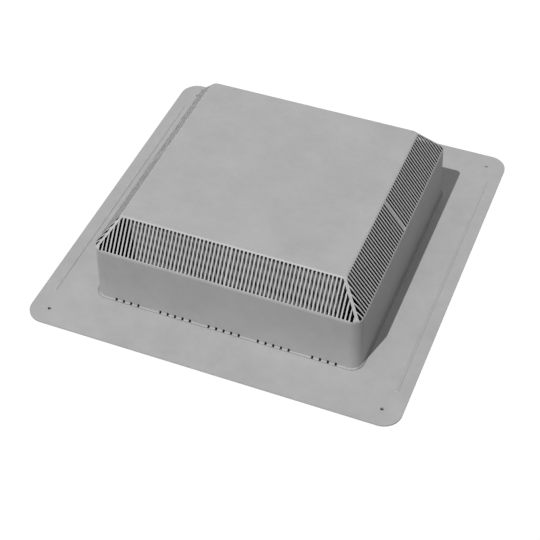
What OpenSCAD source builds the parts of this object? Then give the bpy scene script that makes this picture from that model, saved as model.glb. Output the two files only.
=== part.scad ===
// Low roof vent: a nailed-down base flange with a square throat, a louvred hood over it, and inside the hood a
// rain baffle, an insect screen on the throat's collar and the frame that holds the screen.
// The front (low) side faces -Y, the rear (uphill) side +Y, and +Z is away from the roof deck.

/* [Flange] */
// Width of the flange from side to side
flange_w = 460; // [440:1:500]
// Depth of the flange from front to rear
flange_d = 471.6; // [450:0.2:520]
// Thickness of the flange
flange_t = 2.4; // [2:0.1:4]
// Radius of the flange's corners
flange_corner_r = 22; // [10:1:30]
// Diameter of the four nail holes
nail_hole_d = 4.2; // [3:0.1:6]
// Distance of the nail holes from the side edges
nail_side_inset = 23.5; // [18:0.5:28]
// Distance of the nail holes from the front and rear edges
nail_end_inset = 22; // [18:0.5:28]
// Distance of the water beads from the side edges
bead_side_inset = 15.7; // [10:0.1:30]
// Distance of the beads' ends from the flange's front and rear edges
bead_end_inset = 50; // [35:1:80]
// Width of a water bead
bead_w = 3.4; // [2:0.1:6]
// Height of a water bead above the flange
bead_h = 0.9; // [0.5:0.1:1.5]
// Width of the curb that locates the hood's wall from inside
curb_w = 2.4; // [1.5:0.1:3]
// Height of this curb above the flange
curb_h = 5; // [3:0.1:8]
// Width of the shallow groove round the hood's skirt
groove_w = 0.8; // [0.4:0.1:2]
// Depth of this groove
groove_d = 0.8; // [0.3:0.1:1.4]

/* [Throat] */
// Inside width of the square throat
throat_w = 203; // [180:1:220]
// Radius of the throat's inside corners
throat_corner_r = 8; // [4:0.5:15]
// Thickness of the collar round the throat
collar_t = 2.4; // [2:0.1:4]
// Height of the collar above the flange
collar_h = 38; // [28:1:48]

/* [Hood] */
// Width of the hood at its eave
hood_w = 327.4; // [310:0.2:340]
// Depth of the hood at its eave
hood_d = 317.6; // [305:0.2:330]
// Distance of the hood's centre in front of the flange's centre
hood_offset = 12.4; // [0:0.1:20]
// Height of the eave above the flange
wall_h = 76; // [60:0.5:90]
// Thickness of the hood's upright walls
wall_t = 2.4; // [2:0.1:3]
// How far the walls lean outward from eave to foot
wall_draft = 1.8; // [0.5:0.1:3]
// Radius of the hood's two front upright corners
hood_front_r = 14; // [10:0.5:20]
// Radius of the hood's two rear upright corners
hood_rear_r = 6; // [5:0.5:14]
// Radius of the roof plate's two front corners
roof_front_r = 5; // [4:0.5:12]
// Radius of the roof plate's two rear corners
roof_rear_r = 8; // [4:0.5:14]
// Thickness of the roof plate
roof_t = 2.6; // [2:0.1:3.5]
// Radius of the rounding between roof plate and louvres
roof_edge_r = 3; // [1:0.1:5]
// Radius of the rounding between louvres and wall
eave_edge_r = 2; // [1:0.1:4]
// Width of the sloped skirt round the hood's foot
skirt_w = 2; // [1:0.1:6]
// Height of this skirt at the wall
skirt_rise = 1.1; // [0.9:0.1:4]
// Thickness of this skirt at its outer edge
skirt_edge = 0.6; // [0.3:0.1:0.8]

/* [Louvres] */
// Horizontal run of the louvred slope
louvre_run = 28; // [24:0.5:29]
// Height of the louvred slope
louvre_rise = 37; // [30:0.5:44]
// Thickness of the louvre ribs, square to the slope
louvre_t = 1.9; // [1:0.1:2.6]
// Width of a louvre slot at the outside
slot_w = 2.85; // [1.8:0.05:3.1]
// Draft of each side of a rib, which makes it narrower towards the inside
rib_taper = 18; // [0:1:24]
// Distance between slot centres on the front and the rear
front_pitch = 4.77; // [4.5:0.01:6]
// Distance between slot centres on the two sides
side_pitch = 4.87; // [4.5:0.01:6]
// Extra width of the rib next to the middle slot, on the front and the rear
wide_rib_extra = 0.45; // [0:0.05:0.8]
// Least distance from the hood's corner to the last slot's centre
last_slot_inset = 7.5; // [7:0.1:12]
// Width of the plain band between the front and rear slots and the hips, measured level
front_hip_band = 3.2; // [1.5:0.1:8]
// Width of the plain band between the side slots and the hips, measured level
side_hip_band = 1.8; // [1.5:0.1:8]
// Plain strip between the slots and the roof plate, measured level
head_strip = 0.95; // [0.5:0.05:4]
// Plain strip between the slots and the eave, measured level
eave_strip = 0.45; // [0.2:0.05:3]
// Depth of the blind groove in place of the middle slot on each side
blind_groove = 0.8; // [0.3:0.1:1.5]

/* [Weep notches] */
// Width of a weep notch in the hood's front foot
weep_w = 2.6; // [1.5:0.1:4]
// Height of a weep notch above the flange
weep_h = 3.4; // [2:0.1:8]
// Distance between neighbouring notches of a group
weep_pitch = 9.5; // [7:0.1:11]
// Distance between the centres of neighbouring groups
weep_group_pitch = 61.85; // [55:0.05:65]

/* [Rain baffle] */
// Gap between the baffle and the inside of the side louvres, level with the roof plate's underside
baffle_side_gap = 6.3; // [5:0.1:18]
// Gap between the baffle and the inside of the front and rear louvres, at the same level
baffle_end_gap = 2.4; // [1.5:0.1:14]
// Thickness of the baffle
baffle_t = 2; // [1.5:0.1:3]
// Height of the baffle below the roof plate
baffle_h = 80; // [66:1:90]
// Radius of the baffle's outside corners
baffle_corner_r = 8; // [5:0.5:14]
// Width of the rim that bonds the baffle to the roof plate
rim_w = 10; // [6:0.5:20]
// Thickness of the web that centres the baffle at each side of the hood
web_t = 2.4; // [1.5:0.1:2.6]
// How far these webs reach down below the eave
web_drop = 8; // [2:1:20]

/* [Insect screen] */
// Thickness of the screen
screen_t = 2; // [1.5:0.1:3]
// Width of a screen slot
mesh_w = 5; // [3:0.1:6]
// Width of the bars between screen slots
mesh_bar = 2; // [1.5:0.1:3]
// Rows of screen slots from front to rear
mesh_rows = 4; // [3:1:6]
// Width of the cross bars between the rows
cross_bar = 4; // [3:0.5:8]
// Height of the screen frame's rim outside the collar
rim_h = 9; // [5:0.5:15]
// Thickness of the screen frame
frame_t = 2; // [1.5:0.1:3]
// How far the screen frame reaches over the screen
frame_lip = 6; // [4:0.5:8]

/* [Fit] */
// Clearance between pieces that fit into each other
fit_gap = 0.3; // [0.2:0.05:0.6]

/* [Hidden] */
$fn = 64;
// Segments in each rounded corner of the hood's shell
corner_steps = 8;
// Steps in the roundings at the eave and at the roof plate's edge
eave_steps = 3;
roof_steps = 4;
// How far a cutter reaches past the face that it opens
past = 1;
// Smallest inside corner radius
least_r = 1;

// A length rounded to hundredths, so that outlines made from it close exactly
function hundredths(x) = round(100 * x) / 100;

hood_y = -hood_offset;
half_w = hood_w / 2;
half_d = hood_d / 2;
eave_z = flange_t + wall_h;
roof_z = eave_z + louvre_rise;
ceiling_z = roof_z - roof_t;
slope_angle = atan2(louvre_rise, louvre_run);
slope_len = norm([louvre_run, louvre_rise]);
// Thickness of the louvred slope measured level
slope_t = louvre_t / sin(slope_angle);
// Depth of the slots' cutter, enough to come out inside the upright wall too
slot_depth = (wall_t + fit_gap) / sin(slope_angle);
eave_turn = 90 - slope_angle;
eave_tangent = eave_edge_r * tan(eave_turn / 2);
roof_tangent = roof_edge_r * tan(slope_angle / 2);
foot_half_w = half_w + wall_draft;
foot_half_d = half_d + wall_draft;
inner_front_r = hood_front_r - wall_t;
inner_rear_r = hood_rear_r - wall_t;
// Level distance from the eave line to the inside of the louvres, at the roof plate's underside
roof_in = louvre_run * (ceiling_z - eave_z) / louvre_rise + slope_t;
baffle_w = 2 * hundredths(half_w - roof_in - baffle_side_gap);
baffle_d = 2 * hundredths(half_d - roof_in - baffle_end_gap);
nail_x = flange_w / 2 - nail_side_inset;
nail_y = flange_d / 2 - nail_end_inset;
bead_x = flange_w / 2 - bead_side_inset;
bead_len = flange_d - 2 * bead_end_inset;
bead_r = (bead_w * bead_w / 4 + bead_h * bead_h) / (2 * bead_h);
collar_w = throat_w + 2 * collar_t;
collar_top = flange_t + collar_h;
weep_groups = [4, 5, 5, 5, 4];
web_z = eave_z - web_drop;
frame_out = collar_w + 2 * (fit_gap + frame_t);
frame_corner_r = throat_corner_r + collar_t + fit_gap + frame_t;
mesh_field = throat_w - 2 * frame_lip;
mesh_pitch = mesh_w + mesh_bar;
mesh_count = floor((mesh_field + mesh_bar) / mesh_pitch);
mesh_len = (mesh_field - (mesh_rows - 1) * cross_bar) / mesh_rows;

// Rounded rectangle, centred
module rounded_rect(w, d, r) {
    square([w - 2 * r, d], center = true);
    square([w, d - 2 * r], center = true);
    for (sx = [-1, 1], sy = [-1, 1])
        translate([sx * (w / 2 - r), sy * (d / 2 - r)])
            circle(r);
}

// Rectangular tube with rounded corners, given by its outside, standing on z = 0
module rounded_tube(w, d, r, t, h) {
    linear_extrude(h)
        difference() {
            rounded_rect(w, d, r);
            rounded_rect(w - 2 * t, d - 2 * t, max(r - t, least_r));
        }
}

// Points of a rounded rectangle at height z, counter-clockwise seen from above
function ring(half_x, half_y, front_r, rear_r, z) = [
    for (corner = [0:3])
        let (
            sx = corner < 2 ? 1 : -1,
            sy = corner == 1 || corner == 2 ? 1 : -1,
            r = sy > 0 ? rear_r : front_r
        )
        for (i = [0:corner_steps])
            let (a = 90 * (corner - 1 + i / corner_steps))
            [sx * (half_x - r) + r * cos(a), sy * (half_y - r) + r * sin(a), z]
];

// Solid through a list of such rings, from the lowest to the highest
module loft(rings) {
    n = len(rings[0]);
    last = len(rings) - 1;
    sides = [
        for (k = [0:last - 1], j = [0:n - 1])
            let (next = (j + 1) % n)
            each [
                [k * n + j, (k + 1) * n + j, (k + 1) * n + next],
                [k * n + j, (k + 1) * n + next, k * n + next]
            ]
    ];
    bottom = [for (j = [0:n - 1]) j];
    top = [for (j = [n - 1:-1:0]) last * n + j];
    polyhedron(points = [for (r = rings) each r], faces = concat([bottom, top], sides));
}

// Ring of the hood's outside, moved outward by out from the eave line
function outside_ring(out, front_r, rear_r, z) =
    ring(half_w + out, half_d + out, front_r, rear_r, z);

// The hood's outside: skirt, drafted walls, rounded eave, louvred slope and rounded edge of the roof plate
module hood_outside() {
    lean = wall_draft * (1 - skirt_rise / wall_h);
    skirt = [
        for (z = [0, skirt_edge])
            outside_ring(wall_draft + skirt_w, hood_front_r + skirt_w, hood_rear_r + skirt_w, flange_t + z)
    ];
    foot = outside_ring(lean, hood_front_r, hood_rear_r, flange_t + skirt_rise);
    eave = [
        for (i = [0:eave_steps])
            let (a = eave_turn * i / eave_steps)
            outside_ring(
                -eave_edge_r * (1 - cos(a)),
                hood_front_r,
                hood_rear_r,
                eave_z - eave_tangent + eave_edge_r * sin(a)
            )
    ];
    roof_edge = [
        for (i = [roof_steps:-1:0])
            let (a = slope_angle * i / roof_steps)
            outside_ring(
                -louvre_run - roof_tangent + roof_edge_r * sin(a),
                roof_front_r,
                roof_rear_r,
                roof_z - roof_edge_r * (1 - cos(a))
            )
    ];
    loft(concat(skirt, [foot], eave, roof_edge));
}

// The room inside the hood, open at the foot
module hood_inside() {
    eave_in = eave_z + (wall_t - slope_t) * louvre_rise / louvre_run;
    loft([
        outside_ring(wall_draft - wall_t, inner_front_r, inner_rear_r, flange_t - past),
        outside_ring(-wall_t, inner_front_r, inner_rear_r, eave_in),
        outside_ring(-roof_in, roof_front_r - slope_t / 2, roof_rear_r - slope_t / 2, ceiling_z)
    ]);
}

// Outline within which one side's slots lie, seen from above: x along the eave, y inwards from it
module slot_field(half, band) {
    low = eave_strip;
    high = louvre_run - head_strip;
    polygon([
        [band + low - half, low],
        [half - band - low, low],
        [half - band - high, high],
        [band + high - half, high]
    ]);
}

// One slot through the slope at its full length. The ribs beside it get narrower towards the inside.
module slot_bar() {
    inner_w = slot_w + 2 * louvre_t * tan(rib_taper);
    translate([0, slope_len, 0])
        rotate([90, 0, 0])
            linear_extrude(slope_len)
                polygon([
                    [slot_w / 2, past],
                    [-slot_w / 2, past],
                    [-slot_w / 2, 0],
                    [-inner_w / 2, -louvre_t],
                    [-inner_w / 2, -slot_depth],
                    [inner_w / 2, -slot_depth],
                    [inner_w / 2, -louvre_t],
                    [slot_w / 2, 0]
                ]);
}

// Cutter of the slots in the side whose eave is half_out from the hood's centre
module slot_cutter(half_out, half_along, pitch, band, has_middle) {
    count = floor((half_along - last_slot_inset) / pitch);
    shift = has_middle ? wide_rib_extra / 2 : 0;
    translate([0, -half_out, eave_z]) {
        intersection() {
            translate([0, 0, -slot_depth])
                linear_extrude(louvre_rise + slot_depth + past)
                    slot_field(half_along, band);
            rotate([slope_angle, 0, 0])
                for (i = [-count:count])
                    if (i != 0 || has_middle)
                        translate([i * pitch + (i > 0 ? shift : -shift), 0, 0])
                            slot_bar();
        }
        if (!has_middle)
            rotate([slope_angle, 0, 0])
                translate([-slot_w / 2, eave_tangent, -blind_groove])
                    cube([slot_w, slope_len - roof_tangent - eave_tangent, blind_groove + past]);
    }
}

// Web in the middle of the right side, from behind the louvres to the baffle
module web() {
    inner = baffle_w / 2 + fit_gap;
    wall_mid = half_w - wall_t / 2;
    roof_mid = half_w - louvre_run + (roof_t / 2) * louvre_run / louvre_rise - slope_t / 2;
    translate([0, web_t / 2, 0])
        rotate([90, 0, 0])
            linear_extrude(web_t)
                polygon([
                    [inner, web_z],
                    [wall_mid, web_z],
                    [wall_mid, eave_z],
                    [roof_mid, roof_z - roof_t / 2],
                    [inner, roof_z - roof_t / 2]
                ]);
}

// Row of weep notches through the front skirt, the wall and the curb inside it
module weep_notches() {
    y_out = -foot_half_d - skirt_w - past;
    y_in = wall_t + fit_gap + wall_draft + curb_w + past - foot_half_d;
    for (g = [0:len(weep_groups) - 1])
        for (i = [0:weep_groups[g] - 1])
            translate([
                (g - (len(weep_groups) - 1) / 2) * weep_group_pitch
                    + (i - (weep_groups[g] - 1) / 2) * weep_pitch - weep_w / 2,
                y_out,
                flange_t
            ])
                cube([weep_w, y_in - y_out, weep_h]);
}

// Water bead along the flange with rounded ends
module bead() {
    intersection() {
        translate([0, 0, flange_t + bead_h - bead_r])
            union() {
                rotate([90, 0, 0])
                    cylinder(r = bead_r, h = bead_len - bead_w, center = true);
                for (s = [-1, 1])
                    translate([0, s * (bead_len - bead_w) / 2, 0])
                        sphere(bead_r);
            }
        translate([-bead_w, -bead_len, flange_t / 2])
            cube([2 * bead_w, 2 * bead_len, flange_t]);
    }
}

// The hood's outline at its foot, moved outward by out
module foot_outline(out) {
    w = 2 * (foot_half_w + out);
    d = 2 * (foot_half_d + out);
    intersection() {
        rounded_rect(w, d, max(hood_front_r + out, least_r));
        translate([0, -d / 4])
            square([w, d / 2], center = true);
    }
    intersection() {
        rounded_rect(w, d, max(hood_rear_r + out, least_r));
        translate([0, d / 4])
            square([w, d / 2], center = true);
    }
}

// Curb on the flange that locates the hood's wall from inside
module curb() {
    out = -wall_t - fit_gap - hundredths(wall_draft * curb_h / wall_h);
    difference() {
        translate([0, hood_y, flange_t / 2])
            linear_extrude(flange_t / 2 + curb_h)
                difference() {
                    foot_outline(out);
                    foot_outline(out - curb_w);
                }
        translate([0, hood_y, 0])
            weep_notches();
    }
}

// Shallow groove in the flange round the hood's skirt
module foot_groove() {
    translate([0, hood_y, flange_t - groove_d])
        linear_extrude(groove_d + past)
            difference() {
                foot_outline(skirt_w + groove_w);
                foot_outline(skirt_w);
            }
}

module base_flange() {
    color("#8f9092")
        difference() {
            union() {
                linear_extrude(flange_t)
                    rounded_rect(flange_w, flange_d, flange_corner_r);
                for (s = [-1, 1])
                    translate([s * bead_x, 0, 0])
                        bead();
                curb();
                translate([0, hood_y, 0])
                    linear_extrude(collar_top)
                        rounded_rect(collar_w, collar_w, throat_corner_r + collar_t);
            }
            foot_groove();
            translate([0, hood_y, -past])
                linear_extrude(collar_top + 2 * past)
                    rounded_rect(throat_w, throat_w, throat_corner_r);
            for (sx = [-1, 1], sy = [-1, 1])
                translate([sx * nail_x, sy * nail_y, -past])
                    cylinder(d = nail_hole_d, h = flange_t + 2 * past);
        }
}

module louvre_hood() {
    color("#8a8b8d")
        translate([0, hood_y, 0]) {
            difference() {
                hood_outside();
                hood_inside();
                for (turn = [0, 180])
                    rotate([0, 0, turn])
                        slot_cutter(half_d, half_w, front_pitch, front_hip_band, true);
                for (turn = [90, -90])
                    rotate([0, 0, turn])
                        slot_cutter(half_w, half_d, side_pitch, side_hip_band, false);
                weep_notches();
            }
            for (turn = [0, 180])
                rotate([0, 0, turn])
                    web();
        }
}

module rain_baffle() {
    color("#77787a")
        translate([0, hood_y, ceiling_z - baffle_h]) {
            rounded_tube(baffle_w, baffle_d, baffle_corner_r, baffle_t, baffle_h);
            translate([0, 0, baffle_h - baffle_t])
                rounded_tube(baffle_w, baffle_d, baffle_corner_r, rim_w, baffle_t);
        }
}

module insect_screen() {
    color("#5f6062")
        translate([0, hood_y, collar_top])
            linear_extrude(screen_t)
                difference() {
                    rounded_rect(collar_w, collar_w, throat_corner_r + collar_t);
                    for (i = [0:mesh_count - 1], j = [0:mesh_rows - 1])
                        translate([
                            (i - (mesh_count - 1) / 2) * mesh_pitch - mesh_w / 2,
                            j * (mesh_len + cross_bar) - mesh_field / 2
                        ])
                            square([mesh_w, mesh_len]);
                }
}

module screen_frame() {
    color("#6c6d6f")
        translate([0, hood_y, collar_top]) {
            translate([0, 0, screen_t - rim_h])
                rounded_tube(frame_out, frame_out, frame_corner_r, frame_t, rim_h + frame_t);
            translate([0, 0, screen_t])
                rounded_tube(
                    frame_out, frame_out, frame_corner_r,
                    frame_t + fit_gap + collar_t + frame_lip, frame_t
                );
        }
}

base_flange();
louvre_hood();
rain_baffle();
insect_screen();
screen_frame();
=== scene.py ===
import math

import bpy
from mathutils import Euler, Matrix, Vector

# Camera, fitted to the photograph's corners and edges
CAMERA_PLACE = (0.44085, -1.08467, 1.14947)
CAMERA_TURN_DEG = (44.0251, 0.7652, 21.9086)
CAMERA_LENS = 87.93
CAMERA_SENSOR = 36.0
CAMERA_CLIP = (0.05, 30.0)

# Light: the sun's direction comes from the hood's shadow on the flange
TO_SUN = (-14.7, -47.6, 76.9)
SUN_POWER = 2.5
SUN_ANGLE_DEG = 0.5
SKY_LEVEL = 0.27

# Floor: its grey, its glow where it is seen as the white background, and half its width
FLOOR_GREY = 0.06
FLOOR_GLOW = 0.97
FLOOR_HALF = 4.0
# Half width and depth of the floor's part that the flange covers, which isn't white
COVERED = (0.213, 0.2205)
# Painted light: glow of this part's rear half, which shows through the two rear nail holes
REAR_PAINTED_LIGHT = 0.4

# Greys of the mouldings, linear
HOOD_GREY = 0.427
BAFFLE_GREY = 0.3
SCREEN_GREY = 0.14

# Cloudy tone from the melt's flow: its share of the grey, and the part of the noise that it spreads over
MOTTLE = 0.09
CLOUD_NOISE = {"Scale": 14.0, "Detail": 7.0, "Roughness": 0.8}
CLOUD_SPAN = (0.3, 0.7)
# Fine etched grain
GRAIN_NOISE = {"Scale": 900.0, "Detail": 3.0, "Roughness": 0.55}
GRAIN_BUMP = {"Strength": 0.12, "Distance": 0.0002}
# Gloss of the plastic
PLASTIC_IOR = 1.45
ROUGHNESS = 0.45
ROUGHNESS_SPREAD = 0.05

# The hood's outside in metres, from which the depth under its skin is worked out
HOOD_Y = -0.0124
HALF_W = 0.1637
HALF_D = 0.1588
EAVE_Z = 0.0784
ROOF_Z = 0.1154
SKIRT_W = 0.002
# How far the louvres and the walls run inward for each metre of height
SLOPE_LEAN = 28 / 37
WALL_LEAN = 1.8 / 76
# Radii of the upright corners, at the eave and at the roof plate
FRONT_CORNER_R = (0.014, 0.005)
REAR_CORNER_R = (0.006, 0.008)
# Blind groove in the middle of each side slope, whose floor gets less of the painted shade, so it is only a
# little darker than the outside
GROOVE_HALF = 0.0016
GROOVE_SHADE_OFFSET = 0.00055

# Painted shade inside the hood: share of the tone that is left there, and the depths between which it falls
# off
PAINTED_SHADE_SHARE = 0.02
SKIN = 0.00034
DEEP = 0.0006
# The flange's underside, up to this height, and its throat get no painted shade
UNDERSIDE = 0.0003
THROAT_HALF = 0.1015

# Painted light on the ribs of the slopes: how much lighter they are than the roof plate, at the front and
# rear, and at the sides
PAINTED_RIB_LIGHT = 0.17
SIDE_PAINTED_RIB_LIGHT = 0.3
# How far below the roof plate's top the ribs' painted light ends
ROOF_EDGE = 0.0006
# Painted shade on the drafted walls: how much darker they are
PAINTED_WALL_SHADE = 0.05
# Painted highlight along the rounded eave edge: where it starts and is complete below the eave, and how much
# lighter it is
EDGE_START = 0.0042
EDGE_FULL = 0.0022
EDGE_HIGHLIGHT = 0.3
SIDE_EDGE_HIGHLIGHT = 0.85
# Height of the top of the skirt, and how much painted shade darkens it at the sides
SKIRT_TOP_Z = 0.0036
SIDE_SKIRT_SHADE = 0.25

# Where the flange's outer edge starts: below its top, beside, before, and at its corners beside plus before
FLANGE_EDGE_Z = 0.0022
FLANGE_EDGE_X = 0.2295
FLANGE_EDGE_Y = 0.2353
FLANGE_EDGE_SUM = 0.43
# Painted light on this edge: how much lighter it is than the flange's top
FLANGE_EDGE_PAINTED_LIGHT = 0.4


def node_of(tree, kind, **values):
    """A shader node with its named inputs and settings filled in."""
    made = tree.nodes.new(kind)
    for name, value in values.items():
        if name in made.inputs:
            made.inputs[name].default_value = value
        else:
            setattr(made, name, value)
    return made


def math_of(tree, operation, first, second=None):
    """A maths node on sockets or numbers; gives its output."""
    made = node_of(tree, "ShaderNodeMath", operation=operation)
    for slot, value in enumerate((first, second)):
        if isinstance(value, (int, float)):
            made.inputs[slot].default_value = value
        elif value is not None:
            tree.links.new(value, made.inputs[slot])
    return made.outputs[0]


def range_of(tree, value, start, end, at_start=0.0, at_end=1.0):
    """A value moved from the span start to end to another span, and held at its ends."""
    made = node_of(tree, "ShaderNodeMapRange")
    made.inputs["From Min"].default_value = start
    made.inputs["From Max"].default_value = end
    made.inputs["To Min"].default_value = at_start
    made.inputs["To Max"].default_value = at_end
    tree.links.new(value, made.inputs["Value"])
    return made.outputs["Result"]


def parts_of(tree, place):
    """The three coordinates of a place."""
    split = node_of(tree, "ShaderNodeSeparateXYZ")
    tree.links.new(place, split.inputs[0])
    return split.outputs


def from_hood_middle(tree, y):
    """Distance in front of or behind the hood's middle."""
    return math_of(tree, "ABSOLUTE", math_of(tree, "SUBTRACT", y, HOOD_Y))


def depth_inside(tree, place, grow):
    """How deep a point lies under the hood's sides and roof, with the sides moved outward by grow."""
    x, y, z = parts_of(tree, place)
    height = math_of(tree, "SUBTRACT", z, EAVE_Z)
    lean = math_of(
        tree, "MAXIMUM",
        math_of(tree, "MULTIPLY", height, SLOPE_LEAN),
        math_of(tree, "MULTIPLY", height, WALL_LEAN),
    )
    share = range_of(tree, height, 0.0, ROOF_Z - EAVE_Z)
    radii = []
    for eave_r, roof_r in (FRONT_CORNER_R, REAR_CORNER_R):
        wider = math_of(tree, "MULTIPLY", share, roof_r - eave_r)
        radii.append(math_of(tree, "ADD", wider, eave_r + grow))
    at_rear = math_of(tree, "GREATER_THAN", y, HOOD_Y)
    change = math_of(tree, "MULTIPLY", at_rear, math_of(tree, "SUBTRACT", radii[1], radii[0]))
    corner_r = math_of(tree, "ADD", radii[0], change)
    inset = math_of(tree, "ADD", lean, corner_r)
    across = math_of(tree, "SUBTRACT", math_of(tree, "ABSOLUTE", x), HALF_W + grow)
    across = math_of(tree, "ADD", across, inset)
    from_middle = from_hood_middle(tree, y)
    along = math_of(tree, "SUBTRACT", from_middle, HALF_D + grow)
    along = math_of(tree, "ADD", along, inset)
    across_out = math_of(tree, "POWER", math_of(tree, "MAXIMUM", across, 0.0), 2.0)
    along_out = math_of(tree, "POWER", math_of(tree, "MAXIMUM", along, 0.0), 2.0)
    round_corner = math_of(tree, "SQRT", math_of(tree, "ADD", across_out, along_out))
    straight = math_of(tree, "MINIMUM", math_of(tree, "MAXIMUM", across, along), 0.0)
    from_side = math_of(tree, "SUBTRACT", corner_r, math_of(tree, "ADD", round_corner, straight))
    # The blind groove's floor gets less of the painted shade
    in_groove = math_of(tree, "LESS_THAN", from_middle, GROOVE_HALF)
    from_side = math_of(tree, "SUBTRACT", from_side, math_of(tree, "MULTIPLY", in_groove, GROOVE_SHADE_OFFSET))
    from_roof = math_of(tree, "SUBTRACT", ROOF_Z, z)
    return math_of(tree, "MINIMUM", from_side, from_roof)


def painted_shade_share(tree, depth):
    """Painted shade: share of the tone that is left at a depth under the hood's outside."""
    return range_of(tree, depth, SKIN, DEEP, 1.0, PAINTED_SHADE_SHARE)


def on_top(tree, place):
    """1 on top of the flange and outside its throat, where painted shade may fall, and 0 on the underside and
    in the throat.
    """
    x, y, z = parts_of(tree, place)
    from_middle = math_of(tree, "MAXIMUM", math_of(tree, "ABSOLUTE", x), from_hood_middle(tree, y))
    outside = math_of(tree, "GREATER_THAN", from_middle, THROAT_HALF + UNDERSIDE)
    return math_of(tree, "MULTIPLY", outside, math_of(tree, "GREATER_THAN", z, UNDERSIDE))


def hood_painted_light_and_shade(tree, place):
    """Factor of the hood's tone from painted light and shade: painted shade below 1 on the walls and the side
    skirt, a painted highlight below the eave, painted light above 1 on the slopes, and 1 on the roof plate.
    """
    x, y, z = parts_of(tree, place)
    from_side = math_of(tree, "SUBTRACT", HALF_W, math_of(tree, "ABSOLUTE", x))
    from_end = math_of(tree, "SUBTRACT", HALF_D, from_hood_middle(tree, y))
    at_side = math_of(tree, "LESS_THAN", from_side, from_end)

    def painted_light_of(end_lift, side_lift):
        """How much painted light a place gets, at the front and rear or at the sides."""
        change = math_of(tree, "MULTIPLY", at_side, side_lift - end_lift)
        return math_of(tree, "ADD", change, end_lift)

    under_roof = math_of(tree, "LESS_THAN", z, ROOF_Z - ROOF_EDGE)
    above_eave = math_of(tree, "GREATER_THAN", z, EAVE_Z)
    under_eave = math_of(tree, "SUBTRACT", 1.0, above_eave)
    # Painted highlight below the eave
    edge_highlight = range_of(tree, z, EAVE_Z - EDGE_START, EAVE_Z - EDGE_FULL)
    edge_highlight = math_of(tree, "MULTIPLY", edge_highlight, painted_light_of(EDGE_HIGHLIGHT, SIDE_EDGE_HIGHLIGHT))
    wall_painted_shading = math_of(tree, "MULTIPLY", under_eave, math_of(tree, "SUBTRACT", edge_highlight, PAINTED_WALL_SHADE))
    # Painted light on the ribs of the slopes
    slope_painted_light = math_of(tree, "MULTIPLY", under_roof, above_eave)
    slope_painted_light = math_of(tree, "MULTIPLY", slope_painted_light, painted_light_of(PAINTED_RIB_LIGHT, SIDE_PAINTED_RIB_LIGHT))
    # Painted shade on the skirt at the sides
    side_skirt_shade = math_of(tree, "MULTIPLY", math_of(tree, "LESS_THAN", z, SKIRT_TOP_Z), at_side)
    side_skirt_shade = math_of(tree, "MULTIPLY", side_skirt_shade, SIDE_SKIRT_SHADE)
    painted_change = math_of(tree, "SUBTRACT", math_of(tree, "ADD", wall_painted_shading, slope_painted_light), side_skirt_shade)
    return math_of(tree, "ADD", painted_change, 1.0)


def flange_edge_painted_light(tree, place):
    """Factor of the flange's tone: painted light, more than 1, on its outer edge, and 1 elsewhere."""
    x, y, z = parts_of(tree, place)
    beside = math_of(tree, "ABSOLUTE", x)
    before = math_of(tree, "ABSOLUTE", y)
    straight = math_of(
        tree, "MAXIMUM",
        math_of(tree, "GREATER_THAN", beside, FLANGE_EDGE_X),
        math_of(tree, "GREATER_THAN", before, FLANGE_EDGE_Y),
    )
    round_corner = math_of(tree, "GREATER_THAN", math_of(tree, "ADD", beside, before), FLANGE_EDGE_SUM)
    outer = math_of(tree, "MAXIMUM", straight, round_corner)
    under_top = math_of(tree, "LESS_THAN", z, FLANGE_EDGE_Z)
    on_edge = math_of(tree, "MULTIPLY", under_top, math_of(tree, "GREATER_THAN", z, UNDERSIDE))
    painted_change = math_of(tree, "MULTIPLY", math_of(tree, "MULTIPLY", outer, on_edge), FLANGE_EDGE_PAINTED_LIGHT)
    return math_of(tree, "ADD", painted_change, 1.0)


def hood_painted_shading(tree, place):
    """Factor of the hood's tone: painted shade inside, and painted light and shade outside."""
    # Painted shade on the hood's inner faces
    inside_shade = painted_shade_share(tree, depth_inside(tree, place, 0.0))
    return math_of(tree, "MULTIPLY", inside_shade, hood_painted_light_and_shade(tree, place))


def flange_painted_shading(tree, place):
    """Factor of the flange's tone: painted shade under the hood, and painted light on its outer edge."""
    depth = math_of(tree, "MULTIPLY", depth_inside(tree, place, SKIRT_W), on_top(tree, place))
    return math_of(tree, "MULTIPLY", painted_shade_share(tree, depth), flange_edge_painted_light(tree, place))


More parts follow.
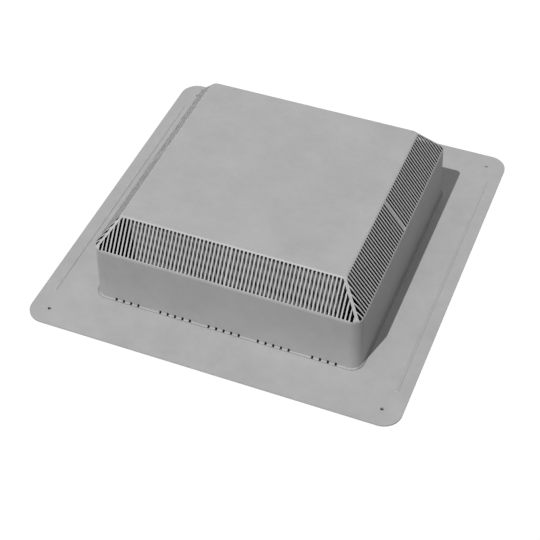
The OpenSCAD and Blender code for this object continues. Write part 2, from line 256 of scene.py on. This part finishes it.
def moulded_plastic(name, grey, painted_shading_of=None):
    """Matte injection-moulded plastic: a cloudy tone from the melt's flow, a fine etched grain, and painted
    light and shade where a factor for them is given.
    """
    material = bpy.data.materials.new(name)
    material.use_nodes = True
    tree = material.node_tree
    link = tree.links.new
    shader = tree.nodes["Principled BSDF"]
    shader.inputs["IOR"].default_value = PLASTIC_IOR
    place = node_of(tree, "ShaderNodeTexCoord").outputs["Object"]

    clouds = node_of(tree, "ShaderNodeTexNoise", **CLOUD_NOISE)
    link(place, clouds.inputs["Vector"])
    ramp = node_of(tree, "ShaderNodeValToRGB")
    for stop, position, share in zip(ramp.color_ramp.elements, CLOUD_SPAN, (1 - MOTTLE, 1 + MOTTLE)):
        stop.position = position
        stop.color = (grey * share, grey * share, grey * share, 1)
    link(clouds.outputs["Fac"], ramp.inputs["Fac"])
    tone = ramp.outputs["Color"]
    # Painted light and shade scale the base colour
    if painted_shading_of:
        shaded = node_of(tree, "ShaderNodeVectorMath", operation="SCALE")
        link(tone, shaded.inputs[0])
        link(painted_shading_of(tree, place), shaded.inputs["Scale"])
        tone = shaded.outputs[0]
    link(tone, shader.inputs["Base Color"])

    grain = node_of(tree, "ShaderNodeTexNoise", **GRAIN_NOISE)
    link(place, grain.inputs["Vector"])
    bump = node_of(tree, "ShaderNodeBump", **GRAIN_BUMP)
    link(grain.outputs["Fac"], bump.inputs["Height"])
    link(bump.outputs["Normal"], shader.inputs["Normal"])

    smooth = ROUGHNESS - ROUGHNESS_SPREAD
    rough = ROUGHNESS + ROUGHNESS_SPREAD
    link(range_of(tree, clouds.outputs["Fac"], 0.0, 1.0, smooth, rough), shader.inputs["Roughness"])
    return material


def dress(node, material):
    """Gives a CAD node its material."""
    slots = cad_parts[node].data.materials
    slots.clear()
    slots.append(material)


def seen_as_white(tree):
    """1 for the rays that see the white background, and 0 for those that light the part."""
    path = node_of(tree, "ShaderNodeLightPath").outputs
    seen = math_of(tree, "MAXIMUM", path["Is Camera Ray"], path["Is Glossy Ray"])
    return math_of(tree, "MAXIMUM", seen, path["Is Transmission Ray"])


def make_floor():
    """Plain pale floor that reads as white to the camera and keeps the part's shadow, with painted light
    under the flange's rear nail holes.
    """
    bpy.ops.mesh.primitive_plane_add(size=2 * FLOOR_HALF)
    floor = bpy.context.object
    floor.name = "floor"
    material = bpy.data.materials.new("pale_floor")
    material.use_nodes = True
    tree = material.node_tree
    link = tree.links.new
    tree.nodes.remove(tree.nodes["Principled BSDF"])
    pale = node_of(tree, "ShaderNodeBsdfDiffuse", Color=(FLOOR_GREY, FLOOR_GREY, FLOOR_GREY, 1))
    glow = node_of(tree, "ShaderNodeEmission")
    x, y = parts_of(tree, node_of(tree, "ShaderNodeTexCoord").outputs["Object"])[:2]
    beside = math_of(tree, "GREATER_THAN", math_of(tree, "ABSOLUTE", x), COVERED[0])
    before = math_of(tree, "GREATER_THAN", math_of(tree, "ABSOLUTE", y), COVERED[1])
    open_floor = math_of(tree, "MULTIPLY", math_of(tree, "MAXIMUM", beside, before), FLOOR_GLOW)
    # Painted light under the rear nail holes
    at_rear = math_of(tree, "MULTIPLY", math_of(tree, "GREATER_THAN", y, 0.0), REAR_PAINTED_LIGHT)
    level = math_of(tree, "MAXIMUM", open_floor, at_rear)
    link(math_of(tree, "MULTIPLY", seen_as_white(tree), level), glow.inputs["Strength"])
    both = node_of(tree, "ShaderNodeAddShader")
    link(pale.outputs[0], both.inputs[0])
    link(glow.outputs[0], both.inputs[1])
    link(both.outputs[0], tree.nodes["Material Output"].inputs["Surface"])
    floor.data.materials.append(material)


def make_sky():
    """Soft even light from all round, white where it is seen."""
    world = bpy.data.worlds.new("soft_sky")
    bpy.context.scene.world = world
    world.use_nodes = True
    tree = world.node_tree
    back = tree.nodes["Background"]
    back.inputs["Color"].default_value = (1, 1, 1, 1)
    strength = range_of(tree, seen_as_white(tree), 0.0, 1.0, SKY_LEVEL, 1.0)
    tree.links.new(strength, back.inputs["Strength"])


def make_sun():
    """Sun from the front, a little to the left."""
    lamp = bpy.data.lights.new("sun", "SUN")
    lamp.energy = SUN_POWER
    lamp.angle = math.radians(SUN_ANGLE_DEG)
    sun = bpy.data.objects.new("sun", lamp)
    sun.rotation_euler = Vector(TO_SUN).to_track_quat("Z", "Y").to_euler()
    bpy.context.scene.collection.objects.link(sun)


def make_camera():
    """Camera at the photograph's view."""
    lens = bpy.data.cameras.new("camera")
    lens.lens = CAMERA_LENS
    lens.sensor_width = CAMERA_SENSOR
    lens.clip_start, lens.clip_end = CAMERA_CLIP
    camera = bpy.data.objects.new("camera", lens)
    camera.location = CAMERA_PLACE
    camera.rotation_euler = Euler([math.radians(a) for a in CAMERA_TURN_DEG], "XYZ")
    bpy.context.scene.collection.objects.link(camera)
    bpy.context.scene.camera = camera


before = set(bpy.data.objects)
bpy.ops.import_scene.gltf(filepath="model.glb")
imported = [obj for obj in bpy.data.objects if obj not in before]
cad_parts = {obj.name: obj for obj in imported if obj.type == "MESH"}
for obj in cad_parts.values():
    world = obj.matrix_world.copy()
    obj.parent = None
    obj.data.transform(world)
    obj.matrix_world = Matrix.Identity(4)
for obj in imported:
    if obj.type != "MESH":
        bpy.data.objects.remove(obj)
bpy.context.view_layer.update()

make_camera()
make_sun()
make_sky()
make_floor()

hood_plastic = moulded_plastic("hood_moulding", HOOD_GREY, hood_painted_shading)
flange_plastic = moulded_plastic("flange_moulding", HOOD_GREY, flange_painted_shading)
baffle_plastic = moulded_plastic("baffle_moulding", BAFFLE_GREY)
screen_plastic = moulded_plastic("screen_moulding", SCREEN_GREY)
dress("base_flange", flange_plastic)
dress("louvre_hood", hood_plastic)
dress("rain_baffle", baffle_plastic)
dress("insect_screen", screen_plastic)
dress("screen_frame", screen_plastic)

bpy.context.scene.view_settings.view_transform = "Standard"
